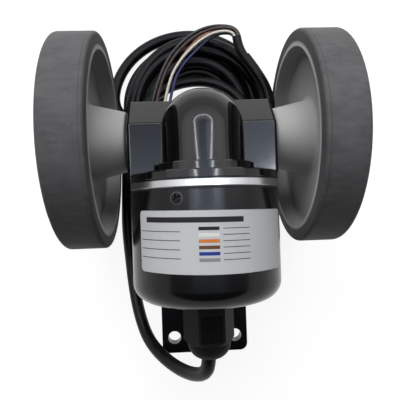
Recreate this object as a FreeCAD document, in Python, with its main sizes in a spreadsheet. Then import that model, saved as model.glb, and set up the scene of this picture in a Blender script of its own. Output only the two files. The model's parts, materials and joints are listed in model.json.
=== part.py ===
import FreeCAD, Part
import Sketcher
import math
import os
import re

DOC = FreeCAD.newDocument("measuring_wheel_encoder")

# Driving sizes in millimetres, except for counts, ratios and angles in degrees.
SIZES = {
    # Wheels: one turn of the tread measures 250 mm.
    "wheel_diameter": 79.6,
    "wheel_width": 14.3,
    "tyre_depth": 4.4,
    "tyre_round": 1.2,
    "rim_wall": 1.7,
    "dish_depth": 6,
    "web_thickness": 4,
    "hub_root_diameter": 29,
    "hub_tip_diameter": 22.5,
    "hub_length": 8,
    "hub_clearance": 1.5,
    "hub_tip_round": 1,
    "hub_root_round": 2,
    "dish_round": 1.5,
    "boss_diameter": 18,
    "boss_inset": 4,
    # Axle and the screws that hold the wheels on it.
    "axle_diameter": 8,
    "axle_inset": 4.5,
    "wheel_screw_thread": 4,
    "wheel_screw_head": 7.2,
    "wheel_screw_head_height": 2.6,
    "wheel_screw_depth": 10,
    "wheel_washer_diameter": 15,
    "wheel_washer_thickness": 1,
    # Gear pair: a five-start worm drives a twenty-tooth wheel, four turns to one.
    "gear_module": 1,
    "worm_pitch_diameter": 14,
    "worm_starts": 5,
    "worm_length": 18,
    "gear_teeth": 20,
    "gear_width": 8,
    "gear_backlash": 0.3,
    "pressure_angle": 20,
    "gear_hub_diameter": 10,
    "gear_clearance": 0.9,
    "gear_end_gap": 1.2,
    "grub_recess": 0.2,
    # Ball bearings on the axle and on the encoder shaft.
    "axle_bearing_diameter": 19,
    "axle_bearing_width": 6,
    "axle_race_diameter": 11.2,
    "shaft_bearing_diameter": 13,
    "shaft_bearing_width": 5,
    "shaft_race_diameter": 8.6,
    "race_wall": 1.2,
    "shield_thickness": 0.4,
    "running_gap": 0.3,
    "race_clearance": 0.2,
    "bearing_shoulder": 1.1,
    "bearing_lip": 0.5,
    "front_bearing_inset": 2,
    "bearing_inset": 1.2,
    "circlip_thickness": 1,
    "circlip_groove": 0.5,
    "circlip_width": 1.8,
    "sleeve_wall": 1.6,
    # Gear housing.
    "block_width": 52,
    "block_below": 13.5,
    "block_back": 13.5,
    "block_above": 18,
    "block_chamfer": 9.8,
    "block_round": 1.2,
    "nose_wall": 2.5,
    "nose_offset": 0.7,
    "collar_diameter": 34.8,
    "collar_length": 3.2,
    "flange_reach": 17,
    "flange_thickness": 2.8,
    "flange_bevel": 0.4,
    # Encoder body.
    "encoder_diameter": 50,
    "ring_thickness": 2.5,
    "ring_bevel": 0.3,
    "pilot_depth": 2.5,
    "gasket_thickness": 0.4,
    "cap_wall": 2,
    "cap_end_wall": 2.5,
    "cap_round": 6,
    "cap_reach": 56,
    "spigot_depth": 5.5,
    "spigot_wall": 2.5,
    "base_plate": 4.5,
    "bearing_tube_wall": 3.5,
    "shaft_diameter": 6,
    "disc_margin": 5.5,
    "disc_thickness": 1,
    "disc_hub_length": 4.5,
    "disc_hub_neck": 1.5,
    "shaft_overhang": 0.5,
    "board_gap": 5,
    "board_room": 3.9,
    "board_clearance": 0.4,
    "board_thickness": 1.6,
    "post_diameter": 2.8,
    "post_clearance": 0.3,
    "post_angle": 60,
    "board_screw_thread": 1.6,
    "board_screw_depth": 5,
    "board_screw_head_height": 1.2,
    "gate_width": 10,
    "gate_inward": 4.5,
    "gate_outward": 3,
    "gate_wall": 2,
    "gate_gap": 1,
    "cap_screw_setback": 5.7,
    "cap_screw_angle": 22.5,
    "cap_screw_head": 4.2,
    "cap_screw_head_height": 1,
    "cap_screw_recess": 0.1,
    "cap_screw_tip_gap": 0.3,
    "cap_screw_thread": 2.5,
    "mount_screw_circle": 30.4,
    "mount_screw_thread": 3,
    "mount_screw_head": 5.5,
    "mount_screw_reach": 5.5,
    # Cable gland and cable.
    "gland_diameter": 17.5,
    "gland_hex_length": 4,
    "gland_thread_diameter": 12.4,
    "gland_bore": 9,
    "gland_stub_length": 7,
    "gland_tail": 1,
    "gland_nut_length": 11.4,
    "gland_dome_diameter": 14.8,
    "gland_dome_length": 5.2,
    "gland_lip": 1.4,
    "gland_turn": 4.5,
    "gland_ribs": 8,
    "gland_rib_pitch": 0.9,
    "gland_rib_depth": 0.4,
    "gland_rib_inset": 1.2,
    "seal_lead_in": 1,
    "seal_land": 4,
    "seal_taper": 3,
    "locknut_diameter": 17,
    "locknut_length": 4,
    "cable_diameter": 5,
    "cable_run_out": 2.6,
    "coil_outer_radius": 34.6,
    "coil_inner_radius": 15.5,
    "coil_height": 16,
    "coil_round": 4,
    "sleeve_diameter": 4,
    "sleeve_run_out": 4,
    "wire_diameter": 1.3,
    "wire_run_out": 3.4,
    # Mounting foot.
    "foot_width": 35.2,
    "foot_thickness": 5,
    "foot_reach": 85.6,
    "foot_back": 14.3,
    "foot_corner": 3,
    "foot_round": 0.4,
    "foot_hole_diameter": 5.2,
    "foot_hole_spacing": 25,
    "foot_hole_inset": 6.4,
    "foot_screw_x": 12,
    "foot_screw_y": 10.7,
    "foot_screw_thread": 3,
    "foot_screw_head": 6,
    "foot_screw_length": 12,
}

SHEET = DOC.addObject("Spreadsheet::Sheet", "sizes")
for row, (alias, number) in enumerate(SIZES.items(), start=1):
    SHEET.set(f"A{row}", alias)
    SHEET.set(f"B{row}", str(number))
    SHEET.setAlias(f"B{row}", alias)
DOC.recompute()

# Sizes that several pieces share, written with the aliases of the sheet.
AXLE_Z = "wheel_diameter / 2"
AXLE_Y = "(foot_reach - wheel_diameter / 2) / 2"
CENTRES = "(worm_pitch_diameter + gear_teeth * gear_module) / 2"
SHAFT_Z = f"{AXLE_Z} + {CENTRES}"
GEAR_RADIUS = "(gear_teeth * gear_module / 2)"
GEAR_TIP = f"({GEAR_RADIUS} + gear_module)"
GEAR_BORE = f"({GEAR_TIP} + gear_clearance)"
NOSE_RADIUS = f"({GEAR_BORE} + nose_wall)"
CAP_INNER = "(encoder_diameter / 2 - cap_wall)"
DISC_EDGE = f"({CAP_INNER} - disc_margin)"
RING_BACK = "(flange_reach + ring_thickness)"
CAP_RIM = f"({RING_BACK} + gasket_thickness)"
BEARING_OUT = "(block_width / 2 - bearing_inset)"
BEARING_IN = f"({BEARING_OUT} - axle_bearing_width)"
HUB_TIP = "(block_width / 2 + hub_clearance)"
WHEEL_IN = f"({HUB_TIP} + hub_length)"
WHEEL_OUT = f"({WHEEL_IN} + wheel_width)"
FRONT_BEARING = "(flange_reach - front_bearing_inset)"
CAP_FLOOR = "(cap_reach - cap_end_wall)"
GLAND_INSIDE = f"({CAP_FLOOR} - locknut_length - gland_tail)"
BOARD_FACE = f"({GLAND_INSIDE} - board_room - board_thickness)"
DISC_FACE = f"({BOARD_FACE} - board_gap)"
REAR_BEARING = f"({DISC_FACE} - disc_hub_length - shaft_bearing_width)"
SPIGOT_END = f"({RING_BACK} + spigot_depth)"
POST_CIRCLE = f"({CAP_INNER} - spigot_wall / 2 - post_clearance)"
GLAND_HEX = "(cap_reach + gland_hex_length)"
GLAND_STUB = f"({GLAND_HEX} + gland_stub_length)"
GLAND_NUT = f"({GLAND_HEX} + gland_nut_length)"
GLAND_END = f"({GLAND_NUT} + gland_dome_length)"

NODES = []


def value(expression):
    """The number that an expression of aliases comes to."""
    return float(SHEET.evalExpression(expression))


def bound(expression):
    """The same expression as other objects of the document read it."""
    def named(word):
        return f"sizes.{word[0]}" if word[0] in SIZES else word[0]
    return re.sub(r"[a-z]\w*", named, expression)


def bind(thing, **properties):
    for name, expression in properties.items():
        thing.setExpression(name, bound(expression))


def place(thing, x="0", y=AXLE_Y, z=AXLE_Z, turn=None):
    """Put a piece where the expressions say, turned about its own origin."""
    if turn is not None:
        thing.Placement = FreeCAD.Placement(FreeCAD.Vector(), turn)
    for axis, expression in zip("xyz", (x, y, z)):
        thing.setExpression(f"Placement.Base.{axis}", bound(expression))


def rotation(axis, degrees):
    return FreeCAD.Rotation(FreeCAD.Vector(*axis), degrees)


def node(thing, label):
    """Name a finished piece; its label is also the name of its file."""
    thing.Label = label
    NODES.append(thing)
    return thing


def new(kind, name):
    return DOC.addObject(kind, name)


def outline(body, name, corners, role="XY_Plane", lift=None, arcs=()):
    """A closed sketch: each corner is held by two distances from the origin.

    arcs maps the number of an edge to its centre; the other edges are straight.
    """
    sketch = body.newObject("Sketcher::SketchObject", name)
    support = next(item for item in body.Origin.OriginFeatures if item.Role == role)
    sketch.AttachmentSupport = (support, [""])
    sketch.MapMode = "FlatFace"
    if lift:
        sketch.setExpression("AttachmentOffset.Base.z", bound(lift))
    points = [FreeCAD.Vector(value(u), value(v), 0) for u, v in corners]
    count = len(points)
    first, last = [], []
    for edge, start in enumerate(points):
        end = points[(edge + 1) % count]
        backwards = False
        if edge in arcs:
            centre = FreeCAD.Vector(*(value(item) for item in arcs[edge]), 0)
            middle = centre + ((start + end) / 2 - centre).normalize() * (start - centre).Length
            backwards = (start - centre).cross(end - centre).z < 0
            sketch.addGeometry(Part.Arc(end, middle, start) if backwards else Part.Arc(start, middle, end))
        else:
            sketch.addGeometry(Part.LineSegment(start, end))
        first.append(2 if backwards else 1)
        last.append(1 if backwards else 2)
    for edge in range(count):
        after = (edge + 1) % count
        sketch.addConstraint(Sketcher.Constraint("Coincident", edge, last[edge], after, first[after]))
    for edge, corner in enumerate(corners):
        hold(sketch, edge, first[edge], corner)
    for edge, centre in dict(arcs).items():
        hold(sketch, edge, 3, (centre[0],))
    return sketch


def hold(sketch, edge, point, distances):
    """Bind the distances of one sketch point from the origin to the sheet."""
    for kind, expression in zip(("DistanceX", "DistanceY"), distances):
        rule = sketch.addConstraint(Sketcher.Constraint(kind, -1, 1, edge, point, value(expression)))
        sketch.setExpression(f"Constraints[{rule}]", bound(expression))


def turned(name, corners, axis="X", angle=360, arcs=()):
    """A turned piece: corners are (along, radius) about X, (radius, along) about Y."""
    body = new("PartDesign::Body", name)
    sketch = outline(body, f"{name}_outline", corners, arcs=arcs)
    turning = body.newObject("PartDesign::Revolution", f"{name}_turning")
    turning.Profile = sketch
    turning.ReferenceAxis = (sketch, ["H_Axis" if axis == "X" else "V_Axis"])
    turning.Angle = angle
    return body


def rounded(body, radius, choose):
    """Round the edges of a body that the chooser picks."""
    DOC.recompute()
    base = body.Tip
    names = [f"Edge{n}" for n, edge in enumerate(base.Shape.Edges, start=1) if choose(edge)]
    rounding = body.newObject("PartDesign::Fillet", f"{base.Name}_rounding")
    rounding.Base = (base, names)
    bind(rounding, Radius=radius)
    return body


def ring_edge(radius, along=None, axis="x"):
    """Chooser of the round edges of one radius, at one place along the axis if given."""
    def choose(edge):
        circle = edge.Curve
        if not isinstance(circle, Part.Circle) or abs(circle.Radius - value(radius)) > 1e-4:
            return False
        return along is None or abs(getattr(circle.Center, axis) - value(along)) < 1e-4
    return choose


def cylinder(name, radius, length, x="0", y="0", z="0", turn=None):
    """A plain cylinder that stands on its place and runs along its own Z."""
    rod = new("Part::Cylinder", name)
    bind(rod, Radius=radius, Height=length)
    place(rod, x, y, z, turn)
    return rod


def fused(name, pieces):
    union = new("Part::MultiFuse", name)
    union.Shapes = pieces
    return union


def cut(name, base, tools):
    result = new("Part::Cut", name)
    result.Base = base
    result.Tool = tools[0] if len(tools) == 1 else grouped(f"{name}_tools", tools)
    return result


def grouped(name, pieces):
    group = new("Part::Compound", name)
    group.Links = pieces
    return group


def tube_corners(inner, outer, start, end):
    """Corners of a plain ring about X."""
    return [(start, inner), (start, outer), (end, outer), (end, inner)]


def swapped(corners):
    return [(v, u) for u, v in corners]


ALONG_X = rotation((0, 1, 0), 90)
ALONG_Y = rotation((1, 0, 0), -90)
SIDES = {"right": rotation((0, 0, 1), 0), "left": rotation((0, 0, 1), 180)}


def pair(label, corners, angle=360):
    """One turned piece on each side of the axle, kept as one group."""
    pieces = []
    for side, turn in SIDES.items():
        piece = turned(f"{label}_{side}", corners, angle=angle)
        place(piece, turn=turn)
        pieces.append(piece)
    return node(grouped(label, pieces), label)


def wheels():
    tyre_in = "(wheel_diameter / 2 - tyre_depth)"
    rim_in = f"({tyre_in} - rim_wall)"
    web_in = f"({WHEEL_IN} + dish_depth)"
    web_out = f"({web_in} + web_thickness)"
    boss_face = f"({WHEEL_OUT} - boss_inset)"
    bore = "axle_diameter / 2"
    core = [
        (HUB_TIP, bore),
        (HUB_TIP, "hub_tip_diameter / 2"),
        (web_in, "hub_root_diameter / 2"),
        (web_in, rim_in),
        (WHEEL_IN, rim_in),
        (WHEEL_IN, tyre_in),
        (WHEEL_OUT, tyre_in),
        (WHEEL_OUT, rim_in),
        (web_out, rim_in),
        (web_out, "boss_diameter / 2"),
        (boss_face, "boss_diameter / 2"),
        (boss_face, bore),
    ]
    for side, turn in SIDES.items():
        wheel = turned(f"wheel_core_{side}", core)
        rounded(wheel, "hub_tip_round", ring_edge("hub_tip_diameter / 2", HUB_TIP))
        rounded(wheel, "hub_root_round", ring_edge("hub_root_diameter / 2", web_in))
        rounded(wheel, "dish_round", ring_edge(rim_in, web_in))
        place(wheel, turn=turn)
        node(wheel, f"wheel_core_{side}")
        ring = tube_corners(tyre_in, "wheel_diameter / 2", WHEEL_IN, WHEEL_OUT)
        tyre = turned(f"tyre_{side}", ring)
        rounded(tyre, "tyre_round", ring_edge("wheel_diameter / 2"))
        place(tyre, turn=turn)
        node(tyre, f"tyre_{side}")
    washer_out = f"({boss_face} + wheel_washer_thickness)"
    thread = "wheel_screw_thread / 2"
    pair("wheel_washers", tube_corners(thread, "wheel_washer_diameter / 2", boss_face, washer_out))
    screw_end = f"({WHEEL_OUT} - axle_inset - wheel_screw_depth)"
    pair("wheel_screws", [
        (screw_end, "0"),
        (screw_end, thread),
        (washer_out, thread),
        (washer_out, "wheel_screw_head / 2"),
        (f"{washer_out} + wheel_screw_head_height", "wheel_screw_head / 2"),
        (f"{washer_out} + wheel_screw_head_height", "0"),
    ])


def axle():
    end = f"({WHEEL_OUT} - axle_inset)"
    depth = f"({end} - wheel_screw_depth)"
    radius = "axle_diameter / 2"
    thread = "wheel_screw_thread / 2"
    shaft = turned("axle_shaft", [
        (f"-{end}", thread),
        (f"-{end}", radius),
        (end, radius),
        (end, thread),
        (depth, thread),
        (depth, "0"),
        (f"-{depth}", "0"),
        (f"-{depth}", thread),
    ])
    place(shaft)
    node(shaft, "axle_shaft")
    sleeve = "(axle_diameter / 2 + sleeve_wall)"
    pair("axle_sleeves", tube_corners(radius, sleeve, "worm_length / 2", BEARING_IN))
    pair("axle_spacers", tube_corners(radius, sleeve, BEARING_OUT, HUB_TIP))


def race_pair(label, corners_of, starts, axis):
    """Bearing rings of one kind at several places along an axis."""
    rings = []
    for number, (start, turn) in enumerate(starts, start=1):
        corners = corners_of(start)
        ring = turned(f"{label}_{number}", corners if axis == "X" else swapped(corners), axis)
        place(ring, z=AXLE_Z if axis == "X" else SHAFT_Z, turn=turn)
        rings.append(ring)
    return node(grouped(label, rings), label)


def bearings():
    """Shielded ball bearings: the outer ring carries the two shields."""
    def outer(diameter, width, race):
        wall = f"({diameter} / 2 - race_wall)"
        lip = f"({race} / 2 + running_gap)"

        def corners(start):
            end = f"({start} + {width})"
            return [
                (start, lip),
                (start, f"{diameter} / 2"),
                (end, f"{diameter} / 2"),
                (end, lip),
                (f"{end} - shield_thickness", lip),
                (f"{end} - shield_thickness", wall),
                (f"{start} + shield_thickness", wall),
                (f"{start} + shield_thickness", lip),
            ]
        return corners

    def inner(bore, width, race):
        return lambda start: tube_corners(f"{bore} / 2", f"{race} / 2", start, f"({start} + {width})")

    on_axle = [(BEARING_IN, turn) for turn in SIDES.values()]
    on_shaft = [(f"(-{seat} - shaft_bearing_width)", None) for seat in (FRONT_BEARING, REAR_BEARING)]
    axle_kind = ("axle_bearing_diameter", "axle_bearing_width", "axle_race_diameter")
    shaft_kind = ("shaft_bearing_diameter", "shaft_bearing_width", "shaft_race_diameter")
    race_pair("axle_bearing_outer_rings", outer(*axle_kind), on_axle, "X")
    race_pair("axle_bearing_inner_rings", inner("axle_diameter", *axle_kind[1:]), on_axle, "X")
    race_pair("shaft_bearing_outer_rings", outer(*shaft_kind), on_shaft, "Y")
    race_pair("shaft_bearing_inner_rings", inner("shaft_diameter", *shaft_kind[1:]), on_shaft, "Y")
    groove = "(axle_bearing_diameter / 2 + circlip_groove)"
    clip_in = f"({groove} - circlip_width)"
    pair("bearing_circlips",
         tube_corners(clip_in, groove, BEARING_OUT, f"{BEARING_OUT} + circlip_thickness"), angle=325)


def polar(radius, angle):
    return FreeCAD.Vector(radius * math.cos(angle), radius * math.sin(angle), 0)


def tooth_ring(count, root, tip, half_angle):
    """Closed outline of a toothed wheel seen along its axis, one tooth at angle 0."""
    edges = []
    middle = (root + tip) / 2
    pitch = 2 * math.pi / count
    for number in range(count):
        centre = number * pitch
        rise = [polar(r, centre - half_angle(r)) for r in (root, middle, tip)]
        fall = [polar(r, centre + half_angle(r)) for r in (tip, middle, root)]
        valley = [fall[2], polar(root, centre + pitch / 2), polar(root, centre + pitch - half_angle(root))]
        crest = [rise[2], polar(tip, centre), fall[0]]
        edges += [Part.Arc(*points).toShape() for points in (rise, crest, fall, valley)]
    return Part.Wire(edges)


def twisted(ring, lead, length):
    """Draw a tooth outline along Z while it turns once per lead; the middle is at the origin."""
    spine = Part.Wire(Part.makeLine(FreeCAD.Vector(), FreeCAD.Vector(0, 0, length)))
    guide = Part.Wire(Part.makeHelix(lead, length, length).Edges)
    sweep = Part.BRepOffsetAPI.MakePipeShell(spine)
    sweep.setAuxiliarySpine(guide, True, 0)
    sweep.add(ring)
    sweep.build()
    sweep.makeSolid()
    solid = sweep.shape()
    solid.rotate(FreeCAD.Vector(), FreeCAD.Vector(0, 0, 1), -180 * length / lead)
    solid.translate(FreeCAD.Vector(0, 0, -length / 2))
    return solid


def gear_pair():
    """Worm on the axle and worm wheel on the encoder shaft, cut with play between the teeth."""
    module = value("gear_module")
    pitch = math.pi * module
    slope = math.tan(math.radians(value("pressure_angle")))
    half_tooth = (pitch - value("gear_backlash")) / 4
    addendum, dedendum = 0.95 * module, 1.25 * module

    worm_radius = value("worm_pitch_diameter") / 2
    worm_lead = value("worm_starts") * pitch

    def worm_half(radius):
        return (half_tooth - (radius - worm_radius) * slope) * 2 * math.pi / worm_lead

    ring = tooth_ring(int(value("worm_starts")), worm_radius - dedendum, worm_radius + addendum, worm_half)
    thread = new("Part::Feature", "worm_thread")
    thread.Shape = twisted(ring, worm_lead, value("worm_length"))
    thread.Placement = FreeCAD.Placement(FreeCAD.Vector(), rotation((0, 1, 0), -90)) * thread.Placement
    bore = cylinder("worm_bore", "axle_diameter / 2", "worm_length", "-worm_length / 2", turn=ALONG_X)
    screw = cut("worm", thread, [bore])
    place(screw)
    node(screw, "worm")

    gear_radius = value(GEAR_RADIUS)
    base = gear_radius * math.cos(math.radians(value("pressure_angle")))
    gear_lead = 4 * math.pi ** 2 * gear_radius * worm_radius / worm_lead

    def involute(radius):
        angle = math.acos(min(1, base / radius))
        return math.tan(angle) - angle

    def gear_half(radius):
        return half_tooth / gear_radius + involute(gear_radius) - involute(radius)

    teeth = int(value("gear_teeth"))
    ring = tooth_ring(teeth, gear_radius - dedendum, gear_radius + addendum, gear_half)
    wheel_teeth = new("Part::Feature", "worm_wheel_teeth")
    wheel_teeth.Shape = twisted(ring, gear_lead, value("gear_width"))
    mesh = rotation((0, 1, 0), 90 + 180 / teeth)
    wheel_teeth.Placement = FreeCAD.Placement(FreeCAD.Vector(), mesh * ALONG_Y) * wheel_teeth.Placement
    hub_length = f"({FRONT_BEARING} - gear_width / 2)"
    hub_radius = "gear_hub_diameter / 2"
    hub = cylinder("worm_wheel_hub", hub_radius, hub_length, y=f"-{FRONT_BEARING}", turn=ALONG_Y)
    shaft_bore = cylinder("worm_wheel_bore", "shaft_diameter / 2", f"{FRONT_BEARING} + gear_width",
                          y=f"-{FRONT_BEARING}", turn=ALONG_Y)
    grub_y = f"(gear_width / 2 + {hub_length} / 2)"
    grub_place = {"y": f"-{grub_y}", "z": "shaft_diameter / 2"}
    grub_hole = cylinder("grub_hole", "mount_screw_thread / 2", "gear_hub_diameter / 2", **grub_place)
    wheel = cut("worm_wheel", fused("worm_wheel_blank", [wheel_teeth, hub]), [shaft_bore, grub_hole])
    place(wheel, z=SHAFT_Z)
    node(wheel, "worm_wheel")
    grub_length = "(gear_hub_diameter - shaft_diameter) / 2 - grub_recess"
    grub = cylinder("worm_wheel_grub_screw", "mount_screw_thread / 2", grub_length,
                    y=f"{AXLE_Y} - {grub_y}", z=f"{SHAFT_Z} + shaft_diameter / 2")
    node(grub, "worm_wheel_grub_screw")


def at_shaft(label, corners, arcs=()):
    """A turned piece about the encoder axis; corners are (radius, distance behind the axle)."""
    piece = turned(label, [(u, f"-({v})") for u, v in corners], "Y", arcs=arcs)
    place(piece, z=SHAFT_Z)
    return piece


def encoder_shaft():
    radius = "shaft_diameter / 2"
    disc_back = f"({DISC_FACE} + disc_thickness)"
    node(at_shaft("encoder_shaft", [
        ("0", "-gear_width / 2 - shaft_overhang"),
        (radius, "-gear_width / 2 - shaft_overhang"),
        (radius, f"{disc_back} + shaft_overhang"),
        ("0", f"{disc_back} + shaft_overhang"),
    ]), "encoder_shaft")
    rear = f"({REAR_BEARING} + shaft_bearing_width)"
    node(at_shaft("code_disc_hub", [
        (radius, rear),
        ("shaft_race_diameter / 2 - race_clearance", rear),
        ("shaft_race_diameter / 2 - race_clearance", f"{rear} + disc_hub_neck"),
        ("shaft_diameter", f"{rear} + disc_hub_neck"),
        ("shaft_diameter", DISC_FACE),
        (radius, DISC_FACE),
    ]), "code_disc_hub")
    node(at_shaft("code_disc", [
        (radius, DISC_FACE),
        (DISC_EDGE, DISC_FACE),
        (DISC_EDGE, disc_back),
        (radius, disc_back),
    ]), "code_disc")


def around_shaft(count, circle, first):
    """Places on a circle about the encoder axis, the first at an angle from the top."""
    for number in range(count):
        angle = first + number * 360 / count
        x = f"({circle}) * sin({angle} * 1 deg)"
        z = f"({circle}) * cos({angle} * 1 deg)"
        yield x, z


def mount_screws():
    """Screws from inside the encoder base into the collar of the gear housing."""
    face = "(flange_reach + base_plate)"
    screws, holes = [], []
    for number, (x, z) in enumerate(around_shaft(4, "mount_screw_circle / 2", 45)):
        screw = turned(f"mount_screw_{number}", [
            ("0", f"-{face} - mount_screw_thread"),
            ("mount_screw_head / 2", f"-{face} - mount_screw_thread"),
            ("mount_screw_head / 2", f"-{face}"),
            ("mount_screw_thread / 2", f"-{face}"),
            ("mount_screw_thread / 2", "-flange_reach + mount_screw_reach"),
            ("0", "-flange_reach + mount_screw_reach"),
        ], "Y")
        place(screw, x, AXLE_Y, f"{SHAFT_Z} + {z}")
        screws.append(screw)
        holes.append((x, z))
    node(grouped("encoder_mount_screws", screws), "encoder_mount_screws")
    depth = f"{face} - flange_reach + mount_screw_reach"
    return [cylinder(f"mount_hole_{n}", "mount_screw_thread / 2", depth,
                     x, f"{AXLE_Y} - {face}", f"{SHAFT_Z} + {z}", ALONG_Y)
            for n, (x, z) in enumerate(holes)]


def cap_screws():
    """Three short screws around the rim of the cap, with the holes that they fill."""
    top = "(encoder_diameter / 2)"
    crown = f"({top} - cap_screw_recess)"
    seat = f"({crown} - cap_screw_head_height)"
    above = f"({top} + cap_screw_head_height)"
    end = f"({CAP_INNER} - spigot_wall + cap_screw_tip_gap)"
    corners = [
        (end, "0"),
        (end, "cap_screw_thread / 2"),
        (seat, "cap_screw_thread / 2"),
        (seat, "cap_screw_head / 2"),
        (crown, "cap_screw_head / 2"),
        (crown, "0"),
    ]
    bore = corners[:4] + [(above, "cap_screw_head / 2"), (above, "0")]
    screws, holes = [], []
    for number in range(3):
        turn = rotation((0, 1, 0), -(90 + value("cap_screw_angle") + 120 * number))
        for name, shape, kept in (("cap_screw", corners, screws), ("cap_hole", bore, holes)):
            piece = turned(f"{name}_{number}", shape)
            place(piece, y=f"{AXLE_Y} - flange_reach - cap_screw_setback", z=SHAFT_Z, turn=turn)
            kept.append(piece)
    node(grouped("cap_screws", screws), "cap_screws")
    return holes


def encoder_body(mount_holes, cap_holes):
    bearing = "shaft_bearing_diameter / 2"
    tube = "(shaft_bearing_diameter / 2 + bearing_tube_wall)"
    pilot = "(flange_reach - pilot_depth)"
    plate = "(flange_reach + base_plate)"
    shoulder = "(shaft_bearing_diameter / 2 - bearing_shoulder)"
    front = f"({FRONT_BEARING} + shaft_bearing_width)"
    tube_end = f"({REAR_BEARING} + shaft_bearing_width + bearing_lip)"
    outer = "encoder_diameter / 2"
    base = at_shaft("encoder_base_turned", [
        (bearing, pilot),
        (GEAR_BORE, pilot),
        (GEAR_BORE, "flange_reach"),
        (f"{outer} - ring_bevel", "flange_reach"),
        (outer, "flange_reach + ring_bevel"),
        (outer, f"{RING_BACK} - ring_bevel"),
        (f"{outer} - ring_bevel", RING_BACK),
        (CAP_INNER, RING_BACK),
        (CAP_INNER, SPIGOT_END),
        (f"{CAP_INNER} - spigot_wall", SPIGOT_END),
        (f"{CAP_INNER} - spigot_wall", plate),
        (tube, plate),
        (tube, tube_end),
        (bearing, tube_end),
        (bearing, REAR_BEARING),
        (shoulder, REAR_BEARING),
        (shoulder, front),
        (bearing, front),
    ])
    node(cut("encoder_base", base, mount_holes + cap_holes), "encoder_base")
    node(at_shaft("cap_gasket", [
        (CAP_INNER, RING_BACK),
        (f"{outer} - ring_bevel", RING_BACK),
        (f"{outer} - ring_bevel", CAP_RIM),
        (CAP_INNER, CAP_RIM),
    ]), "cap_gasket")
    hole = "gland_thread_diameter / 2"
    cap = at_shaft("encoder_cap_turned", [
        (CAP_INNER, CAP_RIM),
        (f"{outer} - ring_bevel", CAP_RIM),
        (outer, f"{CAP_RIM} + ring_bevel"),
        (outer, "cap_reach"),
        (hole, "cap_reach"),
        (hole, CAP_FLOOR),
        (f"{CAP_INNER} - cap_round / 2", CAP_FLOOR),
        (CAP_INNER, f"{CAP_FLOOR} - cap_round / 2"),
    ])
    rounded(cap, "cap_round", ring_edge(outer, "-cap_reach", "y"))
    node(cut("encoder_cap", cap, cap_holes), "encoder_cap")


def sensor_board():
    """Circuit board on three posts, with the light gate that reads the code disc."""
    back = f"({BOARD_FACE} + board_thickness)"
    thread = "board_screw_thread / 2"
    posts, screws, holes = [], [], []
    for number, (x, z) in enumerate(around_shaft(3, POST_CIRCLE, value("post_angle"))):
        post = turned(f"post_{number}", [
            ("0", f"-{SPIGOT_END}"),
            ("post_diameter / 2", f"-{SPIGOT_END}"),
            ("post_diameter / 2", f"-{BOARD_FACE}"),
            (thread, f"-{BOARD_FACE}"),
            (thread, f"-{BOARD_FACE} + board_screw_depth"),
            ("0", f"-{BOARD_FACE} + board_screw_depth"),
        ], "Y")
        screw = turned(f"board_screw_{number}", [
            ("0", f"-{BOARD_FACE} + board_screw_depth"),
            (thread, f"-{BOARD_FACE} + board_screw_depth"),
            (thread, f"-{back}"),
            ("post_diameter / 2", f"-{back}"),
            ("post_diameter / 2", f"-{back} - board_screw_head_height"),
            ("0", f"-{back} - board_screw_head_height"),
        ], "Y")
        for piece in (post, screw):
            place(piece, x, AXLE_Y, f"{SHAFT_Z} + {z}")
        posts.append(post)
        screws.append(screw)
        holes.append(cylinder(f"board_hole_{number}", thread, "board_thickness",
                              x, f"{AXLE_Y} - {back}", f"{SHAFT_Z} + {z}", ALONG_Y))
    node(grouped("board_posts", posts), "board_posts")
    node(grouped("board_screws", screws), "board_screws")
    plate = cylinder("circuit_board_plate", f"{CAP_INNER} - board_clearance", "board_thickness",
                     "0", f"{AXLE_Y} - {back}", SHAFT_Z, ALONG_Y)
    node(cut("circuit_board", plate, holes), "circuit_board")
    low, high = f"({DISC_EDGE} - gate_inward)", f"({DISC_EDGE} + gate_outward)"
    top = f"({DISC_FACE} - gate_wall)"
    block = new("Part::Box", "light_gate_block")
    bind(block, Length="gate_width", Width=f"{BOARD_FACE} - {top}", Height=f"{high} - {low}")
    place(block, "-gate_width / 2", f"{AXLE_Y} - {BOARD_FACE}", f"{SHAFT_Z} + {low}")
    slot = new("Part::Box", "light_gate_slot")
    bind(slot, Length="gate_width", Width="disc_thickness + 2 * gate_gap", Height="gate_inward + gate_gap")
    slot_y = f"{AXLE_Y} - {DISC_FACE} - disc_thickness - gate_gap"
    place(slot, "-gate_width / 2", slot_y, f"{SHAFT_Z} + {low}")
    node(cut("light_gate", block, [slot]), "light_gate")


def hexagon(name, diameter, length, y):
    """A six-sided prism about the encoder axis, turned as the gland was tightened."""
    prism = new("Part::Prism", name)
    prism.Polygon = 6
    bind(prism, Circumradius=f"{diameter} / 2", Height=length)
    place(prism, "0", f"{AXLE_Y} - {y}", SHAFT_Z, rotation((0, 1, 0), value("gland_turn")) * ALONG_Y)
    return prism


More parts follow.
